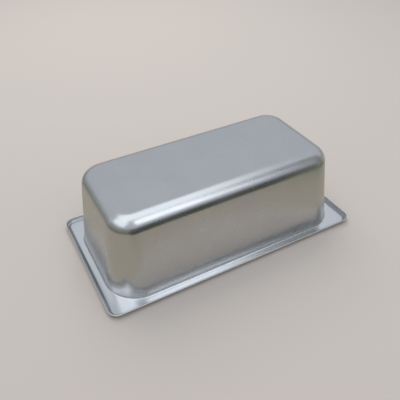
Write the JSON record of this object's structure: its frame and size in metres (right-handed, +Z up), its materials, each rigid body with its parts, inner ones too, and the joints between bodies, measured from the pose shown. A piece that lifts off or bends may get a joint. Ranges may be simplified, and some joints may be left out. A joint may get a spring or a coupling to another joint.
{
  "type": "gastronorm pan",
  "caption": "Deep-drawn stainless steel gastronorm pan, one-third size and 100 mm deep, with a flat flange and an upturned lip, stored upside down on its flange.",
  "frame": {"origin": "centre of the mouth, in the plane of the flange's sealing face, on which the pan stands upside down", "axes": "+X along the pan's length, +Y across it, +Z up from the sealing face to the base; the mouth opens towards -Z"},
  "size_m": [0.325, 0.176, 0.1],
  "materials": {
    "satin_stainless_steel": "satin, as drawn and belt polished"
  },
  "bodies": {
    "root": {"pan": "satin_stainless_steel"}
  },
  "joints": []
}
